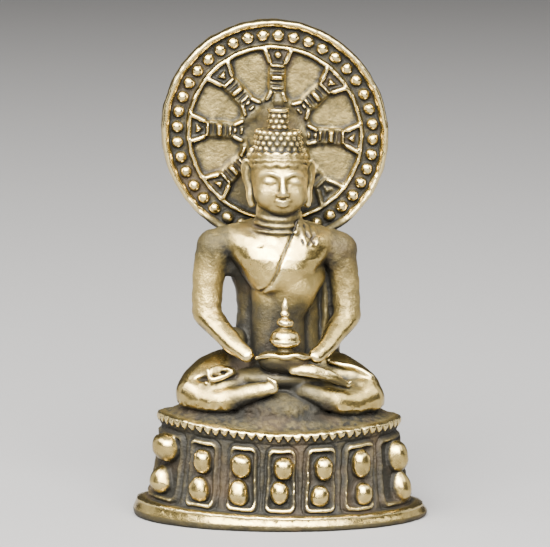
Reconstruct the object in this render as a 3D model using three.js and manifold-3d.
// A small brass figurine, cast in one piece: a seated figure with a reliquary in its hands, in front
// of a wheel-shaped halo, on an oval plinth with two rows of bosses. Millimetres, +Z up, the figure
// faces -Y, and the origin is the middle of the plinth's underside.
import * as THREE from "three";
import { mergeVertices } from "three/addons/utils/BufferGeometryUtils.js";
import Module from "manifold-3d";

const wasm = await Module();
wasm.setup();

// Driving sizes
const HEIGHT = 50;
const FOOT_Z = 0.6; // the height at which the foot is widest
const RIM_Z = 1.3; // the top of the foot's rounded rim

// The casting isn't quite true: it leans to the figure's right, it is lower on the figure's left
// above the foot, and the plinth's ends rise while its back drops
const LEAN_DEG = 1.05;
const TILT_DEG = 1.0;
const RISE = { height: 0.8, at: 11, power: 1.33 };
const BACK_DROP = { slope: 0.09, from: -1 };
const BRASS = { color: 0xb39a63, roughness: 0.38, metalness: 1.0 };

// Plinth: [half-width, height] from the underside to the top, and depth as a share of the width
const OVAL = 0.65;
const PLINTH_TOP = 9.7;
const PLINTH_PROFILE = [
  [14.6, 0],
  [14.9, FOOT_Z],
  [14.45, RIM_Z],
  [13.2, 1.65],
  [12.4, 4.9],
  [11.8, 9.0],
];
const GIRTH_HALF_WIDTH = 12.3; // places along the plinth's girth are measured on this oval
const COLLAR = { halfWidth: 12.2, toothHalfWidth: 12.25, footHalfWidth: 11.3, foot: 8.7, inside: 8 };
const TEETH = { count: 32, tip: 8.75, root: 9.3 };

// Panels across the front: [middle along the girth, half-width] at the top and at the bottom
const PANEL = { top: 8.1, bottom: 1.7, bend: 4.9, backCount: 6, backGap: 0.6, backMargin: 0.4 };
const PANEL_LINE = { width: 0.5, proud: 0.4, sunk: 0.2 };
const FRONT_PANELS = [
  [[-13.1, 2.45], [-13.05, 2.45]],
  [[-8.25, 1.55], [-8.05, 1.57]],
  [[-4.05, 1.38], [-4.0, 1.5]],
  [[-0.15, 1.45], [-0.45, 1.47]],
  [[3.9, 1.58], [3.25, 1.5]],
  [[8.2, 1.75], [7.1, 1.6]],
  [[12.95, 2.35], [12.2, 2.5]],
];

// Bosses, two to each front panel: [along the girth, height, half-width, half-height, how far proud]
const BOSSES = [
  [-12.9, 6.65, 1.6, 1.34, 1.75],
  [-8.25, 6.05, 0.97, 1.2, 1.1],
  [-4.25, 6.1, 1.06, 1.2, 1.1],
  [-0.05, 6.1, 1.02, 1.17, 1.1],
  [4.0, 6.0, 0.95, 1.2, 1.1],
  [8.0, 6.1, 1.04, 1.35, 1.1],
  [13.0, 6.1, 1.25, 1.5, 1.5],
  [-13.1, 3.55, 1.25, 1.35, 1.4],
  [-8.35, 3.4, 1.08, 1.3, 1.15],
  [-4.4, 3.5, 1.04, 1.32, 1.1],
  [-0.46, 3.75, 0.95, 1.2, 1.05],
  [3.4, 3.35, 1.0, 1.08, 1.05],
  [7.9, 3.25, 0.94, 1.15, 1.05],
  [12.9, 3.3, 1.15, 1.5, 1.35],
];

// Halo: a disc with a rim, a channel of beads, an inner ring and eight spokes, turned a little
const HALO = { radius: 11.55, centre: HEIGHT - 11.55, back: 4.3, field: 3.2 };
const HALO_RIM = { front: 2.45, foot: 0.9, width: 0.75, rounded: 0.3, drop: 0.4, taper: 0.1 };
const HALO_RING = { radius: 8.72, half: 0.3, proud: 0.45 };
const WHEEL_TURN_DEG = 2.5;
const BEAD = { count: 40, ring: 9.92, radius: 0.62, sunk: 0.04 };
const SPOKE = { count: 8, proud: 0.45, sunk: 0.5, boxAt: 5.8, boxSize: [1.2, 1.0, 1.1], boxProud: 0.3 };
const SPOKE_HALF = [
  [1.0, 2.9],
  [0.7, 4.2],
  [0.7, 6.5],
  [0.95, 6.5],
  [0.95, 7.1],
  [0.75, 7.2],
  [1.6, HALO_RING.radius],
];
const HUB = { radius: 3.1, flare: 0.3, thick: 1, proud: 0.3 };

// Figure
const SEAT_TOP = 11.0;
const KNEE = [8.55, -2.4, 12.5, 1.9];
const THIGH = [
  [3.0, 1.2, 14.5, 2.6],
  [5.9, 0, 14.2, 2.4],
  [7.8, -1.4, 13.3, 2.2],
];
const SHIN = [
  [6.6, -4.1, 12.15, 1.5],
  [4.8, -5.1, 12.65, 1.12],
  [2.7, -5.75, 13.45, 0.86],
  [1.0, -6.05, 13.95, 0.68],
];
const FOOT = [
  [1.2, -5.75, 15.75, 0.56],
  [3.0, -5.65, 15.6, 0.64],
  [4.7, -5.35, 15.15, 0.58],
  [6.7, -4.6, 14.2, 0.36],
];
const THIGH_FOLD = [
  [4.9, -1.9, 16.1, 0.34],
  [6.6, -2.4, 15.8, 0.38],
  [9.4, -2.7, 14.7, 0.38],
];
const ELBOWS = [
  { side: -1, x: 7.2, girth: 1 },
  { side: 1, x: 6.95, girth: 0.92 },
];
const HEAD = { shift: 0.15, axis: -0.6, turnDeg: 4 };

// Hair: the rings of the cap, [half-width, half-depth, height], and how far its curls stand out
const HAIR_MIDDLE = [0, -0.2];
const CURLS_FROM = 37.2;
const CAP_CURL = 0.3;
const HAIR_CAP = [
  [2.8, 2.5, 34.0],
  [3.0, 2.95, 35.2],
  [2.9, 3.1, 36.2],
  [2.45, 2.75, 36.9],
  [2.2, 2.4, 37.4],
  [2.15, 2.3, 37.95],
  [2.1, 2.2, 38.5],
  [2.05, 2.1, 39.0],
];
const KNOB = { radius: 0.9, curl: 0.22, levels: [38.9, 39.5, 40.05, 40.6, 41.0] };
const EYE = { x: 1.2, y: -3.55, z: 34.5 };
const MOUTH_Z = 32.3;

// Reliquary in the hands: [radius, height above the palms]
const RELIQUARY = { x: 0.4, y: -5.1, z: 16.9 };
const RELIQUARY_PROFILE = [
  [0, -0.6],
  [1.35, -0.2],
  [1.5, 0.2],
  [0.8, 0.6],
  [0.8, 0.95],
  [1.6, 1.5],
  [1.6, 1.75],
  [1.42, 1.87],
  [1.25, 2.5],
  [0.5, 2.98],
  [0.9, 3.42],
  [0.3, 4.05],
  [0.48, 4.35],
  [0.18, 4.66],
  [0.34, 5.1],
  [0, 6.05],
];

const point = ([x, y, z]) => new THREE.Vector3(x, y, z);
const mirrored = (side, [x, ...rest]) => [side * x, ...rest];

/** A closed geometry as a solid that can be joined and cut. */
function solid(geometry) {
  const bare = geometry.clone();
  bare.deleteAttribute("normal");
  bare.deleteAttribute("uv");
  const merged = mergeVertices(bare, 1e-4);
  const made = new wasm.Manifold(
    new wasm.Mesh({
      numProp: 3,
      vertProperties: new Float32Array(merged.attributes.position.array),
      triVerts: new Uint32Array(merged.index.array),
    }),
  );
  if (made.volume() <= 0) throw new Error("a solid's faces point inwards");
  return made;
}

/** The plinth's ends rise towards its top, and its back drops. */
function raised(geometry) {
  const position = geometry.attributes.position;
  for (let i = 0; i < position.count; i++) {
    const rise = RISE.height * Math.abs(position.getX(i) / RISE.at) ** RISE.power;
    const drop = BACK_DROP.slope * Math.max(position.getY(i) - BACK_DROP.from, 0);
    const z = position.getZ(i);
    position.setZ(i, z + ((rise - drop) * z) / PLINTH_TOP);
  }
  return geometry;
}

/** The whole casting's tilt above its foot, and its lean. */
function untrue(geometry) {
  const [tilt, lean] = [TILT_DEG, LEAN_DEG].map((angle) => Math.tan(THREE.MathUtils.degToRad(angle)));
  const position = geometry.attributes.position;
  for (let i = 0; i < position.count; i++) {
    const [x, z] = [position.getX(i), position.getZ(i)];
    position.setX(i, x - lean * (z - FOOT_Z));
    position.setZ(i, z - tilt * x * THREE.MathUtils.clamp(z / RIM_Z, 0, 1));
  }
  return geometry;
}

const fuse = (geometries) => geometries.map(solid).reduce((all, next) => all.add(next));

/** A closed skin over rings of equally many points, drawn to a point at both ends. */
function skin(first, rings, last) {
  const sides = rings[0].length;
  const vertices = [first, ...rings.flat(), last];
  const at = (ring, side) => 1 + ring * sides + (side % sides);
  const index = [];
  for (let side = 0; side < sides; side++) {
    const top = rings.length - 1;
    index.push(0, at(0, side + 1), at(0, side));
    index.push(vertices.length - 1, at(top, side), at(top, side + 1));
    for (let ring = 0; ring < top; ring++) {
      const [a, b] = [at(ring, side), at(ring, side + 1)];
      const [c, d] = [at(ring + 1, side + 1), at(ring + 1, side)];
      index.push(a, b, c, a, c, d);
    }
  }
  return new THREE.BufferGeometry().setFromPoints(vertices).setIndex(index);
}

/** A round limb through [x, y, z, radius] stations, with domed ends. */
function limb(stations, sides = 10, rings = 10) {
  const path = new THREE.CatmullRomCurve3(stations.map(point));
  const frames = path.computeFrenetFrames(rings);
  const radiusAt = (t) => {
    const place = t * (stations.length - 1);
    const low = Math.min(Math.floor(place), stations.length - 2);
    return THREE.MathUtils.lerp(stations[low][3], stations[low + 1][3], place - low);
  };
  const ring = (step, shrink, push) => {
    const t = step / rings;
    const radius = radiusAt(t);
    const centre = path.getPoint(t).addScaledVector(frames.tangents[step], push * radius);
    return Array.from({ length: sides }, (_, side) => {
      const angle = (2 * Math.PI * side) / sides;
      return centre
        .clone()
        .addScaledVector(frames.normals[step], shrink * radius * Math.cos(angle))
        .addScaledVector(frames.binormals[step], shrink * radius * Math.sin(angle));
    });
  };
  const tip = (step, push) =>
    path.getPoint(step / rings).addScaledVector(frames.tangents[step], push * radiusAt(step / rings));
  const body = Array.from({ length: rings + 1 }, (_, step) => ring(step, 1, 0));
  return skin(tip(0, -1), [ring(0, 0.72, -0.7), ...body, ring(rings, 0.72, 0.7)], tip(rings, 1));
}

/** A body of oval level rings, [z, middle x, half-width, front y, back y], closed at both ends. */
function stack(levels, sides = 12) {
  const rings = levels.map(([z, x, halfWidth, front, back]) =>
    Array.from({ length: sides }, (_, side) => {
      const angle = (2 * Math.PI * side) / sides;
      const [middle, depth] = [(front + back) / 2, (back - front) / 2];
      return new THREE.Vector3(x + halfWidth * Math.cos(angle), middle + depth * Math.sin(angle), z);
    }),
  );
  const centre = ([z, x, , front, back]) => new THREE.Vector3(x, (front + back) / 2, z);
  return skin(centre(levels[0]), rings, centre(levels.at(-1)));
}

function ellipsoid(centre, [rx, ry, rz], around = 10, up = 7) {
  const ball = new THREE.SphereGeometry(1, around, up).rotateX(Math.PI / 2);
  return ball.scale(rx, ry, rz).translate(...centre);
}

function turned(profile, segments) {
  const points = profile.map(([radius, z]) => new THREE.Vector2(radius, z));
  return new THREE.LatheGeometry(points, segments).rotateX(Math.PI / 2);
}

// Plinth

/** The plinth's oval outline at a half-width, starting at the front. */
const oval = (halfWidth) =>
  new THREE.EllipseCurve(0, 0, halfWidth, halfWidth * OVAL, -Math.PI / 2, 1.5 * Math.PI);

/** A level ring of points round the plinth, each at its own height. */
const ovalRing = (halfWidth, sides, heightOf) =>
  oval(halfWidth)
    .getSpacedPoints(sides)
    .slice(0, sides)
    .map(({ x, y }, side) => new THREE.Vector3(x, y, heightOf(side)));

const GIRTH = oval(GIRTH_HALF_WIDTH).getLength();

/** A point on the plinth's side: place along the girth, height, distance out. */
function onPlinth(along, z, proud) {
  const next = PLINTH_PROFILE.findIndex(([, height], i) => i > 0 && height >= z);
  const [[w0, z0], [w1, z1]] = [PLINTH_PROFILE[next - 1], PLINTH_PROFILE[next]];
  const outline = oval(THREE.MathUtils.mapLinear(z, z0, z1, w0, w1));
  const u = (along / GIRTH + 2) % 1;
  const [place, way] = [outline.getPointAt(u), outline.getTangentAt(u)];
  return new THREE.Vector3(place.x + way.y * proud, place.y - way.x * proud, z);
}

/** The panels round the plinth: those of the front, and even ones across the back. */
function panels() {
  const { backCount, backGap, backMargin } = PANEL;
  const [[[first, firstHalf]], [[last, lastHalf]]] = [FRONT_PANELS[0], FRONT_PANELS.at(-1)];
  const start = last + lastHalf + backGap;
  const pitch = (GIRTH + first - firstHalf - backGap - start) / backCount;
  const plain = Array.from({ length: backCount }, (_, k) => {
    const ends = [start + pitch * (k + 0.5), pitch / 2 - backMargin];
    return [ends, ends];
  });
  return [...FRONT_PANELS, ...plain];
}

/** A raised line round one panel. */
function panelFrame([[topMiddle, topHalf], [bottomMiddle, bottomHalf]]) {
  const { top, bottom, bend } = PANEL;
  const { width, proud, sunk } = PANEL_LINE;
  const outline = [top, bend, bottom].map((z) => [1, z]);
  const loop = [...outline, ...outline.map(([x, z]) => [-x, z]).reverse()];
  const sections = loop.map(([x, z]) => {
    const share = (top - z) / (top - bottom);
    const middle = THREE.MathUtils.lerp(topMiddle, bottomMiddle, share);
    const half = THREE.MathUtils.lerp(topHalf, bottomHalf, share);
    const down = z === bend ? 0 : Math.sign(bend - z);
    const on = (part, out) =>
      onPlinth(middle + x * half - Math.sign(x) * width * part, z + down * width * part, out);
    return [on(0, -sunk), on(0.5, proud), on(1, -sunk)];
  });
  const index = [];
  sections.forEach((section, i) => {
    const next = (i + 1) % sections.length;
    for (let k = 0; k < section.length; k++) {
      const [a, b] = [3 * i + k, 3 * i + ((k + 1) % 3)];
      const [c, d] = [3 * next + ((k + 1) % 3), 3 * next + k];
      index.push(a, b, c, a, c, d);
    }
  });
  return new THREE.BufferGeometry().setFromPoints(sections.flat()).setIndex(index);
}

/** The slab on top of the plinth, with a row of teeth hanging from its rim. */
function collar() {
  const sides = 2 * TEETH.count;
  return skin(
    new THREE.Vector3(0, 0, COLLAR.inside),
    [
      ovalRing(COLLAR.footHalfWidth, sides, () => COLLAR.foot),
      ovalRing(COLLAR.toothHalfWidth, sides, (side) => (side % 2 ? TEETH.tip : TEETH.root)),
      ovalRing(COLLAR.halfWidth, sides, () => PLINTH_TOP),
    ],
    new THREE.Vector3(0, 0, PLINTH_TOP),
  );
}

function boss([along, z, halfWidth, halfHeight, proud]) {
  const ball = new THREE.SphereGeometry(1, 6, 4).rotateX(Math.PI / 2);
  ball.scale(halfWidth, proud, halfHeight);
  const outward = onPlinth(along, z, 1).sub(onPlinth(along, z, 0));
  ball.rotateZ(Math.atan2(outward.y, outward.x) + Math.PI / 2);
  return ball.translate(...onPlinth(along, z, 0));
}

function plinth() {
  const sides = 28;
  const body = skin(
    new THREE.Vector3(0, 0, 0),
    PLINTH_PROFILE.map(([halfWidth, z]) => ovalRing(halfWidth, sides, () => z)),
    new THREE.Vector3(0, 0, PLINTH_PROFILE.at(-1)[1]),
  );
  const pieces = [body, collar(), ...panels().map(panelFrame), ...BOSSES.map(boss)];
  return fuse(pieces.map(raised));
}

// Halo

/** Turns a shape that points up from the wheel's centre round to one spoke's angle. */
const roundWheel = (geometry, angle) => geometry.rotateY(angle).translate(0, 0, HALO.centre);

function plate(outline, front, back) {
  const shape = new THREE.Shape(outline.map(([x, z]) => new THREE.Vector2(x, z)));
  const slab = new THREE.ExtrudeGeometry(shape, { depth: back - front, bevelEnabled: false });
  return slab.rotateX(Math.PI / 2).translate(0, back, 0);
}

function spoke(angle) {
  const { proud, sunk, boxAt, boxSize, boxProud } = SPOKE;
  const front = HALO.field - proud;
  const outline = [...SPOKE_HALF, ...SPOKE_HALF.map(([x, r]) => [-x, r]).reverse()];
  const box = new THREE.BoxGeometry(...boxSize).translate(0, front + boxSize[1] / 2 - boxProud, boxAt);
  return [plate(outline, front, HALO.back - sunk), box].map((piece) => roundWheel(piece, angle));
}

function halo() {
  const { radius, back, field } = HALO;
  const { front, foot, width, rounded, drop, taper } = HALO_RIM;
  const profile = [
    [0, field],
    [HALO_RING.radius - HALO_RING.half, field],
    [HALO_RING.radius, field - HALO_RING.proud],
    [HALO_RING.radius + HALO_RING.half, field],
    [radius - foot, field],
    [radius - width, front],
    [radius - rounded, front],
    [radius, front + drop],
    [radius - taper, back],
    [0, back],
  ];
  const disc = turned(profile, 30).rotateX(-Math.PI / 2);
  const pieces = [disc.translate(0, 0, HALO.centre)];
  const turn = THREE.MathUtils.degToRad(WHEEL_TURN_DEG);
  for (let k = 0; k < BEAD.count; k++) {
    const angle = (2 * Math.PI * k) / BEAD.count + turn;
    const bead = new THREE.OctahedronGeometry(BEAD.radius, 0).translate(0, field + BEAD.sunk, BEAD.ring);
    pieces.push(roundWheel(bead, angle));
  }
  for (let k = 0; k < SPOKE.count; k++) {
    if (k !== SPOKE.count / 2) pieces.push(...spoke((2 * Math.PI * k) / SPOKE.count + turn));
  }
  const hub = new THREE.CylinderGeometry(HUB.radius, HUB.radius + HUB.flare, HUB.thick, 12);
  pieces.push(hub.rotateX(Math.PI).translate(0, field + HUB.thick / 2 - HUB.proud, HALO.centre));
  return fuse(pieces);
}

// Figure

/** The seat, the crossed legs, the lap, and the foot and the hem that lie on it. */
function legs() {
  const seat = turned(
    [
      [0, PLINTH_TOP - 1.6],
      [11.2, PLINTH_TOP - 0.9],
      [11.0, PLINTH_TOP + 0.1],
      [10.3, PLINTH_TOP + 0.9],
      [9.0, SEAT_TOP],
      [0, SEAT_TOP + 0.2],
    ],
    16,
  ).scale(1, OVAL, 1);
  const pieces = [
    seat,
    ellipsoid([0.1, -3.5, 11.3], [4.8, 2.9, 2.3], 9, 5),
    ellipsoid([0, -3.0, 14.5], [4.8, 2.3, 1.3], 8, 4),
    ellipsoid([-5.9, -3.4, 14.7], [1.5, 1.3, 1.1], 7, 4),
    limb(FOOT, 6, 3),
    limb(THIGH_FOLD, 4, 3),
  ];
  for (const side of [-1, 1]) {
    const knee = mirrored(side, KNEE);
    pieces.push(
      limb([...THIGH.map((station) => mirrored(side, station)), knee], 8, 4),
      limb([knee, ...SHIN.map((station) => mirrored(side, station))], 7, 5),
    );
  }
  return fuse(pieces);
}

function torso() {
  const trunk = stack([
    [12.0, 0, 5.0, -2.0, 4.2],
    [15.0, 0, 5.2, -2.0, 4.3],
    [18.0, 0, 4.4, -1.3, 4.1],
    [20.5, 0, 4.1, -0.9, 3.9],
    [24.0, 0, 4.7, -0.9, 3.8],
    [26.0, 0, 5.5, -1.2, 3.8],
    [27.6, 0, 6.0, -1.4, 3.6],
    [29.2, 0, 5.0, -1.1, 3.3],
  ]);
  const belly = stack(
    [
      [14.0, -0.1, 2.9, -3.3, 2],
      [24.5, -0.1, 2.7, -3.1, 2],
    ],
    8,
  );
  const side = ellipsoid([1.3, -1.7, 23.0], [2.2, 1.6, 2.6]);
  const chest = stack(
    [
      [22.9, -1.0, 1.3, -3.35, 1.0],
      [23.5, -0.7, 2.2, -3.7, 1.5],
      [24.5, -0.25, 3.35, -3.95, 2.5],
      [25.5, -0.05, 4.15, -4.0, 3.0],
      [26.5, 0, 4.85, -3.8, 3.4],
      [27.5, 0, 5.35, -3.3, 3.5],
      [28.5, 0, 5.3, -2.65, 3.5],
      [29.3, 0, 4.4, -1.9, 3.3],
      [29.9, 0, 3.2, -1.2, 3.0],
    ],
    12,
  );
  const neck = turned(
    [
      [0, 27.5],
      [3.0, 28.6],
      [2.55, 29.1],
      [2.65, 29.5],
      [2.25, 29.9],
      [2.35, 30.3],
      [2.2, 31.5],
      [0, 31.8],
    ],
    10,
  ).translate(0, -0.5, 0);
  return fuse([trunk, belly, side, chest, neck]);
}

/** The robe: its edge across the chest, the pleats on the shoulder and the fall at the side. */
function robe() {
  const edge = limb(
    [
      [2.0, -1.5, 30.2, 0.26],
      [1.17, -2.85, 28.25, 0.26],
      [0.29, -3.75, 26.5, 0.26],
      [-0.33, -3.95, 24.9, 0.26],
      [-0.95, -3.75, 23.8, 0.26],
      [-1.8, -3.3, 23.2, 0.22],
    ],
    5,
    10,
  );
  const pleats = [
    [2.2, -1.1],
    [2.85, -0.8],
    [3.5, -0.6],
  ].map(([x, y]) =>
    limb(
      [
        [x, y, 29.6, 0.4],
        [x + 0.2, y - 0.75, 29.0, 0.42],
        [x + 0.3, y - 1.3, 28.0, 0.4],
      ],
      5,
      3,
    ),
  );
  const fall = stack(
    [
      [13.5, 4.2, 2.2, 0.7, 3.6],
      [17.0, 4.2, 2.1, 0.7, 3.5],
      [22.0, 5.1, 2.3, 0.5, 3.4],
      [27.0, 5.0, 2.4, 0.5, 3.4],
    ],
    8,
  );
  return fuse([edge, ...pleats, fall]);
}

/** The arms, what fills the armpit and the hip, and the hands laid together like a shallow bowl. */
function arms() {
  const hands = stack([
    [15.3, 0.2, 1.6, -5.7, -3.5],
    [15.9, 0.2, 2.3, -6.1, -3.3],
    [16.6, 0.25, 2.7, -6.4, -3.0],
    [17.2, 0.25, 2.8, -6.5, -3.0],
  ]);
  const armpit = limb([[-5.7, 0.4, 26.4, 0.9], [-4.9, 0.4, 24.9, 0.7]], 7, 2);
  const pieces = [hands, armpit, ellipsoid([-4.5, -0.9, 17.9], [1.2, 1.6, 1.3], 8, 5)];
  for (const { side, x, girth } of ELBOWS) {
    pieces.push(
      limb(
        [
          [side * (x - 0.85), 0.4, 26.95, 1.78],
          [side * (x - 0.35), 0.5, 25.0, 1.66 * girth],
          [side * (x - 0.1), 0.5, 22.6, 1.55 * girth],
          [side * x, 0.2, 20.6, 1.5 * girth],
        ],
        8,
        5,
      ),
      limb(
        [
          [side * (x - 0.1), -0.2, 20.2, 1.4 * girth],
          [side * (x - 1.35), -1.95, 19.0, 1.2 * girth],
          [side * 4.7, -3.55, 17.9, girth],
          [side * 3.5, -4.8, 17.0, 0.78],
        ],
        8,
        4,
      ),
    );
  }
  return fuse(pieces);
}

/** Hair with staggered rows of curls: rings of [radius x, radius y, z] about [x, y]. */
function curled(rings, [x, y], sides, out, hasCurl) {
  const curl = (ring, side) => {
    const angle = (2 * Math.PI * side) / sides;
    const [rx, ry, z] = rings[ring];
    const place = new THREE.Vector3(x + rx * Math.sin(angle), y - ry * Math.cos(angle), z);
    const lift = (ring + side) % 2 && hasCurl(place) ? out : 0;
    return place.add(new THREE.Vector3(Math.sin(angle) * lift, -Math.cos(angle) * lift, 0));
  };
  return skin(
    new THREE.Vector3(x, y, rings[0][2]),
    rings.map((_, ring) => Array.from({ length: sides }, (_, side) => curl(ring, side))),
    new THREE.Vector3(x, y, rings.at(-1)[2] + out / 2),
  );
}

function hair() {
  const { radius, curl, levels } = KNOB;
  const knobRings = levels.map((z) => [radius, radius, z]);
  const isCurly = ({ y, z }) => z > CURLS_FROM || y > HAIR_MIDDLE[1];
  return [
    curled(HAIR_CAP, HAIR_MIDDLE, 18, CAP_CURL, isCurly),
    curled(knobRings, [0, HEAD.axis], 10, curl, () => true),
  ];
}

/** The finial on the knob: a disc, and a box-like bud. */
function finial() {
  const disc = [
    [0, 40.85],
    [1.0, 40.95],
    [1.12, 41.2],
    [0.9, 41.42],
    [0, 41.45],
  ];
  const bud = stack(
    [
      [41.3, 0, 0.55, -1.15, -0.05],
      [42.2, 0, 0.62, -1.25, 0.05],
      [42.7, 0, 0.5, -1.1, -0.1],
      [43.0, 0, 0.2, -0.8, -0.4],
    ],
    8,
  );
  return [turned(disc, 8).translate(0, HEAD.axis, 0), bud];
}

/** The head is made about the middle plane, then turned a little and moved to where it sits. */
function head() {
  const face = stack([
    [31.0, 0, 0.9, -3.0, 1],
    [31.5, 0, 1.7, -3.4, 1],
    [32.4, 0, 2.3, -3.65, 1],
    [33.6, 0, 2.65, -3.75, 1],
    [34.8, 0, 2.8, -3.6, 1],
    [36.6, 0, 2.7, -3.2, 1],
  ]);
  const nose = limb(
    [
      [0, -3.55, 35.0, 0.28],
      [0, -4.0, 33.9, 0.33],
      [0, -4.2, 33.4, 0.42],
    ],
    6,
    3,
  );
  const pieces = [face, nose, ...hair(), ...finial()];
  for (const lip of [0.22, -0.22]) {
    pieces.push(ellipsoid([0, -3.7, MOUTH_Z + lip], [0.85, 0.35, 0.22], 6, 4));
  }
  for (const side of [-1, 1]) {
    const { x, y, z } = EYE;
    pieces.push(
      ellipsoid([side * x, y, z], [0.72, 0.35, 0.4], 7, 4),
      limb(
        [
          [side * 0.35, y - 0.1, z + 0.5, 0.16],
          [side * x, y, z + 0.95, 0.18],
          [side * 2.1, y + 0.75, z + 0.55, 0.14],
        ],
        4,
        3,
      ),
      limb(
        [
          [side * 3.2, -0.6, 36.0, 0.34],
          [side * 3.3, -0.4, 34.8, 0.46],
          [side * 3.0, -0.8, 33.2, 0.34],
          [side * 2.85, -0.95, 31.9, 0.38],
        ],
        5,
        3,
      ),
    );
  }
  const turn = THREE.MathUtils.degToRad(HEAD.turnDeg);
  const placed = pieces.map((geometry) =>
    geometry.translate(0, -HEAD.axis, 0).rotateZ(turn).translate(HEAD.shift, HEAD.axis, 0),
  );
  return fuse(placed);
}

const reliquary = () =>
  fuse([turned(RELIQUARY_PROFILE, 8).translate(RELIQUARY.x, RELIQUARY.y, RELIQUARY.z)]);

/** The whole casting as one mesh. */
function figurine() {
  const cast = [plinth(), halo(), legs(), torso(), robe(), arms(), head(), reliquary()].reduce(
    (all, next) => all.add(next),
  );
  const { vertProperties, triVerts, numProp } = cast.getMesh();
  const geometry = new THREE.BufferGeometry();
  geometry.setAttribute("position", new THREE.BufferAttribute(vertProperties, numProp));
  geometry.setIndex(new THREE.BufferAttribute(triVerts, 1));
  untrue(geometry);
  geometry.computeVertexNormals();
  return new THREE.Mesh(geometry, new THREE.MeshStandardMaterial(BRASS));
}

const group = new THREE.Group();
const casting = figurine();
casting.name = "figurine";
group.add(casting);

export default group;
